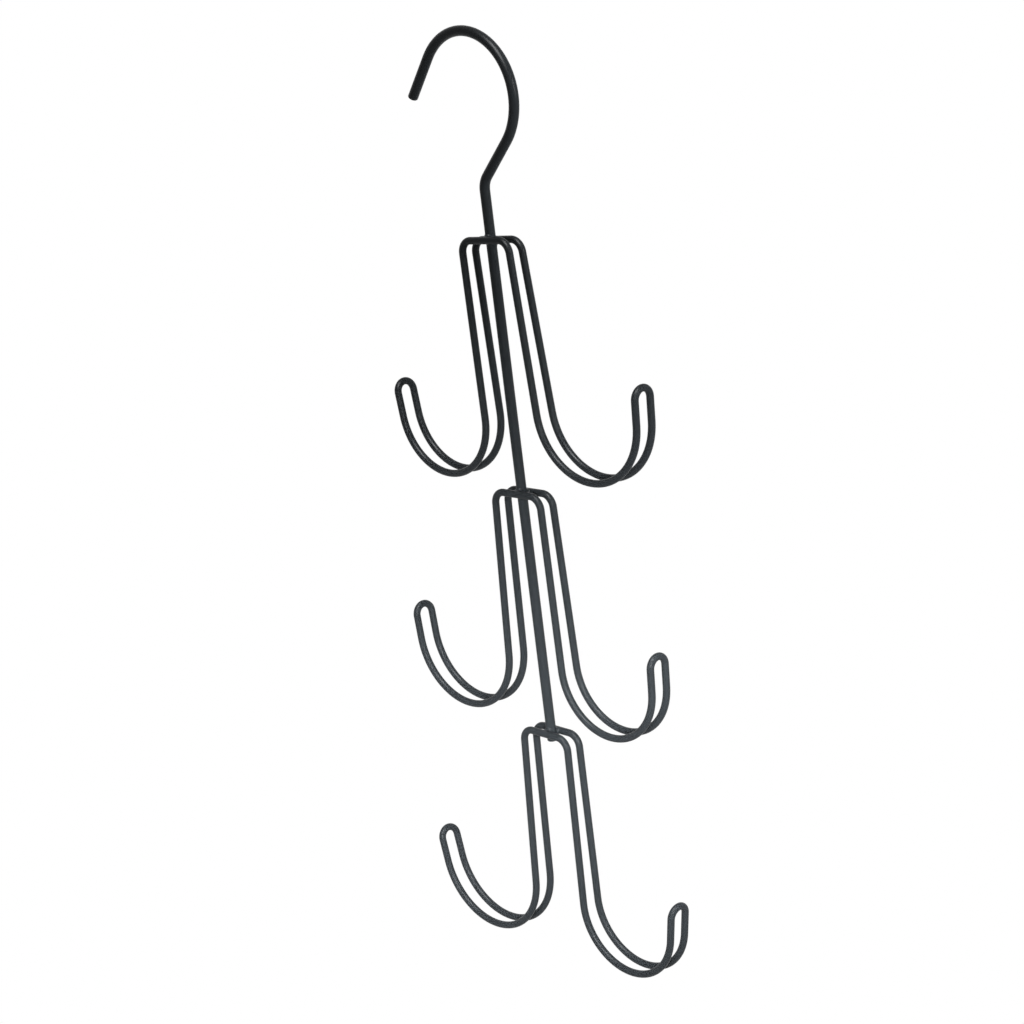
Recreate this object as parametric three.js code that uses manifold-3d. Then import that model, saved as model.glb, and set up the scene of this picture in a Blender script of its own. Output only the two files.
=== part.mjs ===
// Handbag hanger: one round steel rod, bent into a rail hook at the top, carries three welded
// tiers of twin-wire J hooks. Each tier is one closed loop of thinner wire.
// Millimetres, +Z up. The origin is the rail seat: the inner side of the hook's crown, on the rod's axis.
// +X runs along the tiers to the side that the hook bulges to, +Y from the front strand to the back one.
import * as THREE from "three";
import { mergeVertices } from "three/addons/utils/BufferGeometryUtils.js";
import Module from "manifold-3d";

// Wire stock
const rodDiameter = 5.5;
const wireDiameter = 4;
const weldGap = 0.3;
const endChamfer = 0.6;

// Rail hook, in the order that the rod is bent from the neck to its tip
const seatToFirstBar = 103.8;
const neckBendRadius = 7;
const neckBendAngle = 43.5;
const neckRun = 26.5;
const hookRadius = 33.5;
const hookSweep = 186.5;
const hookTipRun = 26;

// Tiers, bent outwards from the middle of the top bar
const tierPitch = 137.5;
const legsApart = 34;
const cornerRadius = 7;
const legSplay = 1.5;
const legAndJReach = 122;
const jTipRun = 13;
const tipSpacing = 11.3;
const rodBelowLastBar = 3.2;

// As bent and welded by hand: each J has a radius and a sweep of its own, each tier a tilt on the rod
const tiers = [
  { name: "upper", tilt: -2.5, left: { radius: 33.5, sweep: 173 }, right: { radius: 36, sweep: 173 } },
  { name: "middle", tilt: 0, left: { radius: 36.5, sweep: 173 }, right: { radius: 33, sweep: 173 } },
  { name: "lower", tilt: 2, left: { radius: 36.5, sweep: 168 }, right: { radius: 31.5, sweep: 172 } },
];

// Weld nuggets where a strand crosses the rod
const nuggetRadius = 2.8;

// Facets
const rodSides = 12;
const wireSides = 10;
const bendStep = 12;
const tipTurnSteps = 8;
const nuggetSegments = 14;

const rodRadius = rodDiameter / 2;
const wireRadius = wireDiameter / 2;
const barSpacing = rodDiameter + wireDiameter + 2 * weldGap;

const blackCoat = new THREE.MeshStandardMaterial({ color: 0x191b1d, roughness: 0.5, metalness: 0.25 });

const wasm = await Module();
wasm.setup();

// A path that a sweep visits only at its stations, so a straight run has a ring at each end and no more.
class WirePath extends THREE.Curve {
  constructor(stations) {
    super();
    this.stations = stations;
  }

  stationAt(share) {
    return this.stations[Math.round(share * (this.stations.length - 1))];
  }

  getPointAt(share, target = new THREE.Vector3()) {
    return target.copy(this.stationAt(share).point);
  }

  getTangentAt(share, target = new THREE.Vector3()) {
    return target.copy(this.stationAt(share).tangent);
  }
}

function directionOf(heading) {
  return new THREE.Vector2(Math.cos(heading), Math.sin(heading));
}

// Feeds and bends a wire in its own plane as a wire former does. Each step is a straight feed and then
// a bend of some degrees, to the left when positive. Gives the points and headings along the centre line.
function bendWire(start, headingDegrees, steps) {
  const point = start.clone();
  let heading = THREE.MathUtils.degToRad(headingDegrees);
  let travel = 0;
  const stations = [{ point: point.clone(), heading, travel }];
  for (const { feed, radius = 0, bend = 0 } of steps) {
    point.addScaledVector(directionOf(heading), feed);
    travel += feed;
    stations.push({ point: point.clone(), heading, travel });
    const slices = Math.ceil(Math.abs(bend) / bendStep);
    const slice = THREE.MathUtils.degToRad(bend) / Math.max(slices, 1);
    for (let i = 0; i < slices; i++) {
      point.addScaledVector(directionOf(heading + slice / 2), 2 * radius * Math.sin(Math.abs(slice) / 2));
      heading += slice;
      travel += radius * Math.abs(slice);
      stations.push({ point: point.clone(), heading, travel });
    }
  }
  return stations;
}

function toManifold(geometry) {
  const bare = geometry.clone();
  bare.deleteAttribute("normal");
  bare.deleteAttribute("uv");
  const merged = mergeVertices(bare, 1e-4);
  return new wasm.Manifold(
    new wasm.Mesh({
      numProp: 3,
      vertProperties: merged.attributes.position.array,
      triVerts: new Uint32Array(merged.index.array),
    }),
  );
}

function fromManifold(solid) {
  const mesh = solid.getMesh();
  const geometry = new THREE.BufferGeometry();
  geometry.setAttribute("position", new THREE.BufferAttribute(mesh.vertProperties, 3));
  geometry.setIndex(new THREE.BufferAttribute(mesh.triVerts, 1));
  geometry.computeVertexNormals();
  return geometry;
}

// The hook's centre, measured from the start of the neck bend.
function hookCentreAboveNeck() {
  const angle = THREE.MathUtils.degToRad(neckBendAngle);
  const along = new THREE.Vector2(Math.sin(angle), Math.cos(angle));
  const inward = new THREE.Vector2(-Math.cos(angle), Math.sin(angle));
  return new THREE.Vector2(neckBendRadius * (1 - Math.cos(angle)), neckBendRadius * Math.sin(angle))
    .addScaledVector(along, neckRun)
    .addScaledVector(inward, hookRadius);
}

// Height of the neck bend, which puts the hook's inner crown at the origin.
function neckHeight() {
  const centre = hookCentreAboveNeck();
  return -(centre.y + Math.sqrt((hookRadius - rodRadius) ** 2 - centre.x ** 2));
}

function barHeight(tierIndex) {
  return -(seatToFirstBar + tierIndex * tierPitch);
}

// Cuts the sharp rim off one cut end of the rod: a ring whose inner side is a cone at 45 degrees.
function chamferCutter(end, outward) {
  const overhang = 1;
  const inner = rodRadius - endChamfer - overhang;
  const outer = rodRadius + overhang;
  const profile = [
    new THREE.Vector2(inner, overhang),
    new THREE.Vector2(outer, overhang - (outer - inner)),
    new THREE.Vector2(outer, overhang),
    new THREE.Vector2(inner, overhang),
  ];
  const geometry = new THREE.LatheGeometry(profile, rodSides * 2);
  const turn = new THREE.Quaternion().setFromUnitVectors(new THREE.Vector3(0, 1, 0), outward);
  geometry.applyQuaternion(turn);
  geometry.translate(end.x, end.y, end.z);
  return toManifold(geometry);
}

function rodGeometry() {
  const lowerEnd = barHeight(tiers.length - 1) - wireRadius - rodBelowLastBar;
  const flat = bendWire(new THREE.Vector2(0, lowerEnd), 90, [
    { feed: neckHeight() - lowerEnd, radius: neckBendRadius, bend: -neckBendAngle },
    { feed: neckRun, radius: hookRadius, bend: hookSweep },
    { feed: hookTipRun },
  ]);
  const stations = flat.map(({ point, heading }) => ({
    point: new THREE.Vector3(point.x, 0, point.y),
    tangent: new THREE.Vector3(Math.cos(heading), 0, Math.sin(heading)),
  }));
  const section = new THREE.Shape().absarc(0, 0, rodRadius, 0, Math.PI * 2);
  const sweep = new THREE.ExtrudeGeometry(section, {
    steps: stations.length - 1,
    curveSegments: rodSides / 2,
    extrudePath: new WirePath(stations),
  });
  const first = stations[0];
  const last = stations[stations.length - 1];
  const rod = toManifold(sweep)
    .subtract(chamferCutter(first.point, first.tangent.clone().negate()))
    .subtract(chamferCutter(last.point, last.tangent));
  return fromManifold(rod);
}

// One strand of a tier from the middle of the top bar out to a tip, on the front (-1) or back (+1)
// and to the left (-1) or right (+1). The two strands spread apart down the leg, and a wider J has a
// shorter leg, so that all of them reach the same depth.
function strandStations(front, side, { radius, sweep }) {
  const legRun = legAndJReach - radius;
  const corner = THREE.MathUtils.degToRad(90 - legSplay);
  const halfBar = legsApart / 2 - cornerRadius * Math.tan(corner / 2);
  const legStart = halfBar + cornerRadius * corner;
  const flat = bendWire(new THREE.Vector2(0, 0), 0, [
    { feed: halfBar, radius: cornerRadius, bend: legSplay - 90 },
    { feed: legRun, radius, bend: sweep },
    { feed: jTipRun },
  ]);
  return flat.map(({ point, heading, travel }) => {
    const downLeg = THREE.MathUtils.clamp((travel - legStart) / legRun, 0, 1);
    const spacing = THREE.MathUtils.lerp(barSpacing, tipSpacing, downLeg);
    return {
      point: new THREE.Vector3(side * point.x, (front * spacing) / 2, point.y),
      tangent: new THREE.Vector3(side * Math.cos(heading), 0, Math.sin(heading)),
    };
  });
}

// The half turn at a tip, after the strand that arrives there and on to the other one.
function tipTurn(arriving) {
  const { point, tangent } = arriving;
  const centre = new THREE.Vector3(point.x, 0, point.z);
  const across = new THREE.Vector3(0, -point.y, 0);
  const turn = [];
  for (let i = 1; i < tipTurnSteps; i++) {
    const angle = (Math.PI * i) / tipTurnSteps;
    const outOf = tangent.clone().multiplyScalar(Math.sin(angle) * Math.abs(point.y));
    turn.push({
      point: centre.clone().addScaledVector(across, -Math.cos(angle)).add(outOf),
      tangent: tangent
        .clone()
        .multiplyScalar(Math.cos(angle))
        .addScaledVector(across.clone().normalize(), Math.sin(angle)),
    });
  }
  return turn;
}

function reversed(stations) {
  return [...stations]
    .reverse()
    .map(({ point, tangent }) => ({ point: point.clone(), tangent: tangent.clone().negate() }));
}

// A tier's closed loop: out along the front to the right tip, back along the back to the left tip, and home.
function loopGeometry(left, right) {
  const frontRight = strandStations(-1, 1, right);
  const backLeft = strandStations(1, -1, left);
  const stations = [
    ...frontRight,
    ...tipTurn(frontRight[frontRight.length - 1]),
    ...reversed(strandStations(1, 1, right)).slice(0, -1),
    ...backLeft,
    ...tipTurn(backLeft[backLeft.length - 1]),
    ...reversed(strandStations(-1, -1, left)),
  ];
  return new THREE.TubeGeometry(new WirePath(stations), stations.length - 1, wireRadius, wireSides, true);
}

// A lens of weld metal in the corner between the rod and one strand of a tier's top bar.
function nuggetGeometry(front, tilt) {
  const strandY = (front * barSpacing) / 2;
  const reach = 4 * nuggetRadius;
  const lens = new THREE.SphereGeometry(nuggetRadius, nuggetSegments, nuggetSegments / 2);
  lens.translate(0, front * (rodRadius + weldGap / 2), 0);
  const rodRoom = new THREE.CylinderGeometry(rodRadius + weldGap, rodRadius + weldGap, reach, rodSides * 2);
  rodRoom.rotateX(Math.PI / 2);
  rodRoom.rotateY(-tilt);
  const strandRoom = new THREE.CylinderGeometry(
    wireRadius + weldGap,
    wireRadius + weldGap,
    reach,
    wireSides * 2,
  );
  strandRoom.rotateZ(Math.PI / 2);
  strandRoom.translate(0, strandY, 0);
  return fromManifold(toManifold(lens).subtract(toManifold(rodRoom)).subtract(toManifold(strandRoom)));
}

function addMesh(parent, name, geometry) {
  const mesh = new THREE.Mesh(geometry, blackCoat.clone());
  mesh.name = name;
  parent.add(mesh);
}

const hanger = new THREE.Group();
addMesh(hanger, "hook_rod", rodGeometry());
tiers.forEach(({ name, tilt, left, right }, index) => {
  const turn = THREE.MathUtils.degToRad(tilt);
  const tier = new THREE.Group();
  tier.position.z = barHeight(index);
  tier.rotation.y = turn;
  hanger.add(tier);
  addMesh(tier, `${name}_loop`, loopGeometry(left, right));
  addMesh(tier, `${name}_front_weld`, nuggetGeometry(-1, turn));
  addMesh(tier, `${name}_back_weld`, nuggetGeometry(1, turn));
});

export default hanger;
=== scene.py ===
import math

import bpy
from mathutils import Matrix, Quaternion, Vector


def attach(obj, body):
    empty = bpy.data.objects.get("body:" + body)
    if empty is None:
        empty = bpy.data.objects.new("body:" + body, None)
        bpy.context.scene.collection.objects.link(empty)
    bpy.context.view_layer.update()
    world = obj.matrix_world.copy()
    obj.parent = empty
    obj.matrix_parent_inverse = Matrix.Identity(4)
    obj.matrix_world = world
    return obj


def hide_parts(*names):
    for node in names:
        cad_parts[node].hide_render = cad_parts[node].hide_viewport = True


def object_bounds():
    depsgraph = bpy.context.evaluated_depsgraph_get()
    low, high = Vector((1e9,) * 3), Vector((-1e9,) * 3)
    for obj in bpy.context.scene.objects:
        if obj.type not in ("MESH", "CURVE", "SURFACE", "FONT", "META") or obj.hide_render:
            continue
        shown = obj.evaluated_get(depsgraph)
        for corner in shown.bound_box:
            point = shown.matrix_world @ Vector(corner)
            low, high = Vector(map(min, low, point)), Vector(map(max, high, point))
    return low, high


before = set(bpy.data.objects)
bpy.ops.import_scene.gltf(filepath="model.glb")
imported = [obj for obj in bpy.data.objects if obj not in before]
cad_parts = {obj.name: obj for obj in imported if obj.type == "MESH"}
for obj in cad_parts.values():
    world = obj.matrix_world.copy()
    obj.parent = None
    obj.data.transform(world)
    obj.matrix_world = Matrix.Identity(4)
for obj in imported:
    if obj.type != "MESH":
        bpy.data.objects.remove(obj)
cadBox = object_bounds()
print("frame loaded:", ", ".join(sorted(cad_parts)))

mm = 0.001
inPlane = Vector((0, -1, 0))        # bends turn left about this when positive, seen from the front

# Wire former: a ring of points is fed straight ahead and bent round, as on the bench

former = {
    "sides": 32,        # points round a wire
    "stepDegrees": 4,        # one ring for each of these degrees of bend
    "endSteps": 4,        # facets round the edge of a cut end
    "mergeWithin": 0.01 * mm,
    "smoothUnder": 50,        # degrees between faces that are shaded as one
}


def startWire(name, diameter, start, heading):
    bpy.ops.object.select_all(action="DESELECT")
    turn = heading.to_track_quat("Z", "Y").to_euler()
    bpy.ops.mesh.primitive_circle_add(
        vertices=former["sides"], radius=diameter / 2, location=start, rotation=turn
    )
    wire = bpy.context.object
    wire.name = name
    bpy.ops.object.transform_apply(location=True, rotation=True, scale=True)
    bpy.ops.object.mode_set(mode="EDIT")
    bpy.ops.mesh.select_all(action="SELECT")
    return {"wire": wire, "at": start.copy(), "heading": heading.copy()}


def feed(head, length, aside=Vector()):
    step = head["heading"] * length + aside
    bpy.ops.mesh.extrude_region_move(TRANSFORM_OT_translate={"value": step})
    head["at"] += step


def bend(head, radius, degrees, axis):
    turn = math.radians(degrees)
    centre = head["at"] + axis.cross(head["heading"]) * math.copysign(radius, turn)
    steps = math.ceil(abs(degrees) / former["stepDegrees"])
    bpy.ops.mesh.spin(steps=steps, angle=-turn, center=centre, axis=axis)
    swing = Matrix.Rotation(turn, 3, axis)
    head["at"] = centre + swing @ (head["at"] - centre)
    head["heading"] = swing @ head["heading"]


def capEnd(roundOff):
    bpy.ops.mesh.edge_face_add()        # the open ring is what is selected
    bpy.ops.mesh.bevel(offset=roundOff, segments=former["endSteps"], affect="EDGES")


def selectRing(wire, at, reach):
    bpy.ops.mesh.select_all(action="DESELECT")
    bpy.ops.object.mode_set(mode="OBJECT")
    for vertex in wire.data.vertices:
        vertex.select = (vertex.co - at).length < reach
    bpy.ops.object.mode_set(mode="EDIT")


def faceOutwards():
    bpy.ops.mesh.select_all(action="SELECT")
    bpy.ops.mesh.normals_make_consistent(inside=False)
    bpy.ops.object.mode_set(mode="OBJECT")
    bpy.ops.object.shade_smooth_by_angle(angle=math.radians(former["smoothUnder"]))


def finishWire(wire):
    bpy.ops.mesh.select_all(action="SELECT")
    bpy.ops.mesh.remove_doubles(threshold=former["mergeWithin"])
    faceOutwards()
    print("wire bent:", wire.name, len(wire.data.polygons), "faces")


# Hook rod: from its cut lower end up to the neck kink, round the rail hook and on to the tip

rod = {
    "diameter": 5.5 * mm,
    "seatToFirstBar": 103.8 * mm,
    "tierPitch": 137.5 * mm,
    "lowerEnd": -383.2 * mm,        # height of the cut end, from the rail seat at 0
    "neckRadius": 11 * mm,
    "neckDegrees": 43.5,
    "neckRun": 24.9 * mm,
    "hookRadius": 33.5 * mm,
    "hookDegrees": 186.5,
    "tipRun": 26 * mm,
    "endRound": 0.8 * mm,
}


def neckHeight():
    turn = math.radians(rod["neckDegrees"])
    across = rod["neckRadius"] * (1 - math.cos(turn)) + rod["neckRun"] * math.sin(turn)
    across -= rod["hookRadius"] * math.cos(turn)
    rise = (rod["neckRadius"] + rod["hookRadius"]) * math.sin(turn) + rod["neckRun"] * math.cos(turn)
    inner = rod["hookRadius"] - rod["diameter"] / 2
    return -(rise + math.sqrt(inner**2 - across**2))        # puts the inner crown at the origin


def bendRod():
    foot = Vector((0, 0, rod["lowerEnd"]))
    head = startWire("rod_coated", rod["diameter"], foot, Vector((0, 0, 1)))
    feed(head, neckHeight() - rod["lowerEnd"])
    bend(head, rod["neckRadius"], -rod["neckDegrees"], inPlane)
    feed(head, rod["neckRun"])
    bend(head, rod["hookRadius"], rod["hookDegrees"], inPlane)
    feed(head, rod["tipRun"])
    capEnd(rod["endRound"])
    selectRing(head["wire"], foot, rod["diameter"])
    capEnd(rod["endRound"])
    finishWire(head["wire"])
    return head["wire"]


# Tiers: each is one closed loop, from the middle of the front bar out to the right tip and round

tier = {
    "wire": 4 * mm,
    "barSpacing": 9.2 * mm,
    "tipSpacing": 11.3 * mm,
    "cornerRadius": 7 * mm,
    "tipRun": 13 * mm,
}
bends = {        # bent and welded by hand, so no two are alike; a half bar ends on the line of its leg
    "upper": {
        "tilt": -2.5,        # degrees on the rod
        "rise": -0.5 * mm,        # from the even pitch of the tiers
        "backDrop": 1.3 * mm,        # how far the back bar sits lower than the front bar
        "reach": 121.5 * mm,        # from the end of the corner down to the foot of the J
        "left": {"halfBar": 18 * mm, "splay": 1, "radius": 33.2 * mm, "degrees": 174.5},
        "right": {"halfBar": 17 * mm, "splay": 2.1, "radius": 35.6 * mm, "degrees": 172},
    },
    "middle": {
        "tilt": 0,
        "rise": 0,
        "backDrop": 0.9 * mm,
        "reach": 122.7 * mm,
        "left": {"halfBar": 16.3 * mm, "splay": 2.4, "radius": 35.9 * mm, "degrees": 173},
        "right": {"halfBar": 17.6 * mm, "splay": 1.4, "radius": 32.8 * mm, "degrees": 175},
    },
    "lower": {
        "tilt": 2,
        "rise": 0.9 * mm,
        "backDrop": 0.5 * mm,
        "reach": 122.6 * mm,
        "left": {"halfBar": 17 * mm, "splay": 0.8, "radius": 37 * mm, "degrees": 167.5},
        "right": {"halfBar": 16 * mm, "splay": 1.4, "radius": 32.2 * mm, "degrees": 171},
    },
}


def bendStrand(head, side, shape, outward):
    leg = shape["right"] if side > 0 else shape["left"]
    splay = math.radians(leg["splay"])
    corner = 90 - leg["splay"]
    barRun = leg["halfBar"] - tier["cornerRadius"] * math.tan(math.radians(corner) / 2)
    legRun = shape["reach"] - leg["radius"]
    if head["at"].y > 0:
        barRun += shape["backDrop"] * math.tan(splay)
        legRun -= shape["backDrop"] / math.cos(splay)
    spread = (tier["tipSpacing"] - tier["barSpacing"]) / 2
    strandSide = math.copysign(1, head["at"].y)
    if outward:
        feed(head, barRun)
        bend(head, tier["cornerRadius"], -side * corner, inPlane)
        feed(head, legRun, Vector((0, strandSide * spread, 0)))
        bend(head, leg["radius"], side * leg["degrees"], inPlane)
        feed(head, tier["tipRun"])
    else:
        feed(head, tier["tipRun"])
        bend(head, leg["radius"], -side * leg["degrees"], inPlane)
        feed(head, legRun, Vector((0, -strandSide * spread, 0)))
        bend(head, tier["cornerRadius"], side * corner, inPlane)
        feed(head, barRun)


def turnAtTip(head):
    across = Vector((0, -math.copysign(1, head["at"].y), 0))
    axis = head["heading"].cross(across).normalized()
    bend(head, tier["tipSpacing"] / 2, 180, axis)


def bendLoop(name, shape):
    start = Vector((0, -tier["barSpacing"] / 2, 0))
    head = startWire(name + "_loop_coated", tier["wire"], start, Vector((1, 0, 0)))
    for side in (1, -1):
        bendStrand(head, side, shape, True)
        turnAtTip(head)
        bendStrand(head, side, shape, False)
    print("loop closes within", round((head["at"] - start).length / mm, 4), "mm")
    finishWire(head["wire"])
    return head["wire"]


def pick(piece):
    bpy.ops.object.select_all(action="DESELECT")
    piece.select_set(True)
    bpy.context.view_layer.objects.active = piece


def placeOnRod(piece, index, shape):
    pick(piece)
    piece.location.z = shape["rise"] - rod["seatToFirstBar"] - index * rod["tierPitch"]
    piece.rotation_euler.y = math.radians(shape["tilt"])
    bpy.ops.object.transform_apply(location=True, rotation=True, scale=True)


# Welds: a fillet of metal in the corner between the rod and a strand, rounded as it is under the coat

fillet = {
    "sides": 48,        # points round the stubs of rod and strand that it starts from
    "alongRod": 8 * mm,
    "alongBar": 10 * mm,
    "bulge": (3.1, 1.6, 2.7),        # mm along the bar, across the joint and along the rod
    "grid": 0.25 * mm,
    "rounding": 70,        # passes of smoothing
    "eachPass": 0.5,
    "cutInsideRod": 0.5 * mm,        # from the rod's axis to the flat back of the fillet
    "cutWithin": 0.001 * mm,
}


def applyModifier(piece, kind, settings):
    bpy.ops.object.modifier_add(type=kind)
    modifier = piece.modifiers[-1]
    for setting, value in settings.items():
        setattr(modifier, setting, value)
    bpy.ops.object.modifier_apply(modifier=modifier.name)


def modelFillet():
    bpy.ops.object.select_all(action="DESELECT")
    bpy.ops.mesh.primitive_cylinder_add(
        vertices=fillet["sides"], radius=rod["diameter"] / 2, depth=fillet["alongRod"]
    )
    upright = bpy.context.object
    bpy.ops.mesh.primitive_cylinder_add(
        vertices=fillet["sides"],
        radius=tier["wire"] / 2,
        depth=fillet["alongBar"],
        location=(0, -tier["barSpacing"] / 2, 0),
        rotation=(0, math.radians(90), 0),
    )
    along = bpy.context.object
    touch = (rod["diameter"] + tier["barSpacing"] - tier["wire"]) / 4
    bpy.ops.mesh.primitive_uv_sphere_add(radius=1 * mm, location=(0, -touch, 0), scale=fillet["bulge"])
    weld = bpy.context.object
    upright.select_set(True)
    along.select_set(True)
    bpy.ops.object.join()
    bpy.ops.object.transform_apply(location=True, rotation=True, scale=True)
    applyModifier(weld, "REMESH", {"mode": "VOXEL", "voxel_size": fillet["grid"]})
    applyModifier(weld, "SMOOTH", {"factor": fillet["eachPass"], "iterations": fillet["rounding"]})
    bpy.ops.object.mode_set(mode="EDIT")
    bpy.ops.mesh.select_all(action="SELECT")
    bpy.ops.mesh.bisect(
        plane_co=(0, -fillet["cutInsideRod"], 0),
        plane_no=(0, 1, 0),
        threshold=fillet["cutWithin"],
        use_fill=True,
        clear_outer=True,
    )
    faceOutwards()
    print("fillet modelled:", len(weld.data.polygons), "faces")
    return weld


def copyFillet(weld, name, turn, drop):
    pick(weld)
    bpy.ops.object.duplicate(linked=False)
    piece = bpy.context.object
    piece.name = name
    piece.location.z = -drop
    piece.rotation_euler.z = math.radians(turn)
    bpy.ops.object.transform_apply(location=True, rotation=True, scale=True)
    return piece


# Finish: satin black powder coat over the steel

coat = {
    "colour": (0.032, 0.037, 0.0415, 1),
    "faded": (0.04, 0.0462, 0.0515, 1),
    "mottleScale": 70,
    "mottleDetail": 4,
    "mottleRange": (0.3, 0.7),        # from the smoothest to the roughest patches
    "roughLow": 0.28,
    "roughHigh": 0.4,
    "gloss": 0.08,
    "grainScale": 1600,
    "grainDetail": 2,
    "grainHeight": 0.02 * mm,
    "grainStrength": 0.25,
}


def blackCoat():
    material = bpy.data.materials.new("black_powder_coat")
    material.use_nodes = True
    nodes = material.node_tree.nodes
    links = material.node_tree.links
    shader = nodes["Principled BSDF"]
    shader.inputs["Specular IOR Level"].default_value = coat["gloss"]
    place = nodes.new("ShaderNodeTexCoord")
    mottle = nodes.new("ShaderNodeTexNoise")
    mottle.inputs["Scale"].default_value = coat["mottleScale"]
    mottle.inputs["Detail"].default_value = coat["mottleDetail"]
    links.new(place.outputs["Object"], mottle.inputs["Vector"])
    shade = nodes.new("ShaderNodeMix")
    shade.data_type = "RGBA"
    shade.inputs["A"].default_value = coat["colour"]
    shade.inputs["B"].default_value = coat["faded"]
    links.new(mottle.outputs["Fac"], shade.inputs["Factor"])
    links.new(shade.outputs["Result"], shader.inputs["Base Color"])
    sheen = nodes.new("ShaderNodeMapRange")
    sheen.inputs["From Min"].default_value = coat["mottleRange"][0]
    sheen.inputs["From Max"].default_value = coat["mottleRange"][1]
    sheen.inputs["To Min"].default_value = coat["roughLow"]
    sheen.inputs["To Max"].default_value = coat["roughHigh"]
    links.new(mottle.outputs["Fac"], sheen.inputs["Value"])
    links.new(sheen.outputs["Result"], shader.inputs["Roughness"])
    grain = nodes.new("ShaderNodeTexNoise")
    grain.inputs["Scale"].default_value = coat["grainScale"]
    grain.inputs["Detail"].default_value = coat["grainDetail"]
    links.new(place.outputs["Object"], grain.inputs["Vector"])
    bump = nodes.new("ShaderNodeBump")
    bump.inputs["Strength"].default_value = coat["grainStrength"]
    bump.inputs["Distance"].default_value = coat["grainHeight"]
    links.new(grain.outputs["Fac"], bump.inputs["Height"])
    links.new(bump.outputs["Normal"], shader.inputs["Normal"])
    return material


def dress(piece, material, node):
    piece.data.materials.clear()
    piece.data.materials.append(material)
    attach(piece, "root")
    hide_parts(node)


coatMaterial = blackCoat()
dress(bendRod(), coatMaterial, "hook_rod")
pattern = modelFillet()
for index, (name, shape) in enumerate(bends.items()):
    loop = bendLoop(name, shape)
    placeOnRod(loop, index, shape)
    dress(loop, coatMaterial, name + "_loop")
    for label, turn, drop in (("front", 0, 0), ("back", 180, shape["backDrop"])):
        weld = copyFillet(pattern, f"{name}_{label}_fillet", turn, drop)
        placeOnRod(weld, index, shape)
        dress(weld, coatMaterial, f"{name}_{label}_weld")
bpy.data.objects.remove(pattern)
print("hanger dressed")

# Studio: white all round for the camera, a floor below for the shadow, soft lamps

studio = {
    "floorDrop": 0.25,        # metres from the lowest wire down to the floor
    "floorSize": 12,
    "floorColour": (0.9, 0.9, 0.9, 1),
    "floorRoughness": 0.9,
    "shadowReach": 0.12,        # the floor shows its shade out to here
    "whiteFrom": 0.36,        # and is plain white from here on
    "leastWhite": 0.8,        # share of plain white right below the hanger
    "ambient": 0.015,
}


def seenDirectly(tree):
    path = tree.nodes.new("ShaderNodeLightPath")
    either = path.outputs["Is Camera Ray"]
    for ray in ("Is Glossy Ray", "Is Transmission Ray"):
        join = tree.nodes.new("ShaderNodeMath")
        join.operation = "MAXIMUM"
        tree.links.new(either, join.inputs[0])
        tree.links.new(path.outputs[ray], join.inputs[1])
        either = join.outputs[0]
    return either


def whiteWorld():
    world = bpy.data.worlds.new("studio_white")
    bpy.context.scene.world = world
    world.use_nodes = True
    tree = world.node_tree
    level = tree.nodes.new("ShaderNodeMapRange")
    level.inputs["To Min"].default_value = studio["ambient"]
    level.inputs["To Max"].default_value = 1
    tree.links.new(seenDirectly(tree), level.inputs["Value"])
    background = tree.nodes["Background"]
    background.inputs["Color"].default_value = (1, 1, 1, 1)
    tree.links.new(level.outputs["Result"], background.inputs["Strength"])


def floorWhite():
    material = bpy.data.materials.new("floor_white")
    material.use_nodes = True
    tree = material.node_tree
    shader = tree.nodes["Principled BSDF"]
    shader.inputs["Base Color"].default_value = studio["floorColour"]
    shader.inputs["Roughness"].default_value = studio["floorRoughness"]
    place = tree.nodes.new("ShaderNodeTexCoord")
    distance = tree.nodes.new("ShaderNodeVectorMath")
    distance.operation = "LENGTH"
    tree.links.new(place.outputs["Object"], distance.inputs[0])
    fade = tree.nodes.new("ShaderNodeMapRange")
    fade.interpolation_type = "SMOOTHSTEP"
    fade.inputs["From Min"].default_value = studio["shadowReach"]
    fade.inputs["From Max"].default_value = studio["whiteFrom"]
    fade.inputs["To Min"].default_value = studio["leastWhite"]
    tree.links.new(distance.outputs["Value"], fade.inputs["Value"])
    whiteShare = tree.nodes.new("ShaderNodeMath")
    whiteShare.operation = "MULTIPLY"
    tree.links.new(seenDirectly(tree), whiteShare.inputs[0])
    tree.links.new(fade.outputs["Result"], whiteShare.inputs[1])
    glow = tree.nodes.new("ShaderNodeEmission")
    mix = tree.nodes.new("ShaderNodeMixShader")
    tree.links.new(whiteShare.outputs[0], mix.inputs["Fac"])
    tree.links.new(shader.outputs["BSDF"], mix.inputs[1])
    tree.links.new(glow.outputs["Emission"], mix.inputs[2])
    tree.links.new(mix.outputs["Shader"], tree.nodes["Material Output"].inputs["Surface"])
    return material


def layFloor():
    bpy.ops.object.select_all(action="DESELECT")
    height = cadBox[0][2] - studio["floorDrop"]
    bpy.ops.mesh.primitive_plane_add(size=studio["floorSize"], location=(0, 0, height))
    floor = bpy.context.object
    floor.name = "studio_floor"
    floor.data.materials.append(floorWhite())


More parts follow.
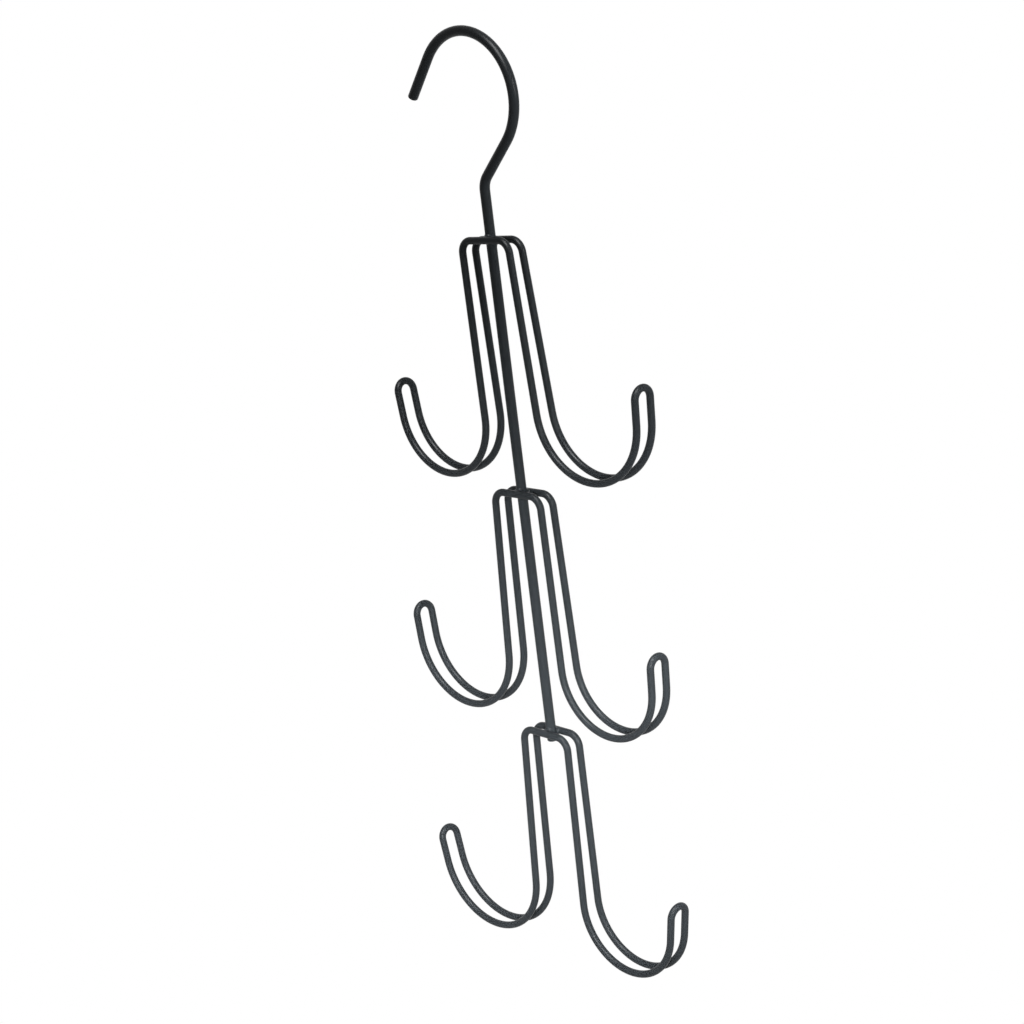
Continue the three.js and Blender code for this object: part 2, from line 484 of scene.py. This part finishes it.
lamps = {        # metres, degrees of beam and watts
    "key": {"at": (0.84, 0.04, 0.1), "aim": (0, 0, 0.02), "size": (0.3, 0.3), "beam": 60, "watts": 0.5},
    "low": {"at": (0.44, -0.41, -0.16), "aim": (0, 0, -0.42), "size": (0.6, 0.2), "beam": 46, "watts": 1.11},
    "strip": {"at": (0.33, -0.42, 0.75), "aim": (0, 0, -0.2), "size": (0.5, 0.7), "beam": 80, "watts": 7.5},
    "back": {"at": (-1, 0.92, 0), "aim": (0, 0, -0.25), "size": (0.8, 0.8), "beam": 60, "watts": 1.4},
}


def hangLamps():
    for name, lamp in lamps.items():
        spot = Vector(lamp["at"])
        turn = (spot - Vector(lamp["aim"])).to_track_quat("Z", "Y").to_euler()
        bpy.ops.object.light_add(type="AREA", location=spot, rotation=turn)
        light = bpy.context.object
        light.name = "lamp_" + name
        light.data.shape = "RECTANGLE"
        light.data.size, light.data.size_y = lamp["size"]
        light.data.spread = math.radians(lamp["beam"])
        light.data.energy = lamp["watts"]
        light.visible_camera = False
        light.visible_diffuse = name != "strip"        # gives highlights only
        light.visible_glossy = name != "back"        # gives none


# Camera: the photograph's own place, from the wires' centre lines

view = {
    "aim": Vector((-4.5, -4.8, -251.6)) * mm,
    "distance": 1354.6 * mm,
    "azimuth": 47.39,
    "elevation": 15.37,
    "roll": -7.08,
    "lens": 89.15,        # mm, as the sensor
    "sensor": 36,
}


def setCamera():
    azimuth = math.radians(view["azimuth"])
    elevation = math.radians(view["elevation"])
    level = math.cos(elevation)
    back = Vector((math.sin(azimuth) * level, -math.cos(azimuth) * level, math.sin(elevation)))
    turn = back.to_track_quat("Z", "Y") @ Quaternion((0, 0, 1), math.radians(view["roll"]))
    bpy.ops.object.camera_add(location=view["aim"] + back * view["distance"], rotation=turn.to_euler())
    camera = bpy.context.object
    camera.data.sensor_width = view["sensor"]
    camera.data.lens = view["lens"]
    bpy.context.scene.camera = camera


whiteWorld()
layFloor()
hangLamps()
setCamera()
bpy.context.scene.view_settings.view_transform = "Standard"
print("studio set")
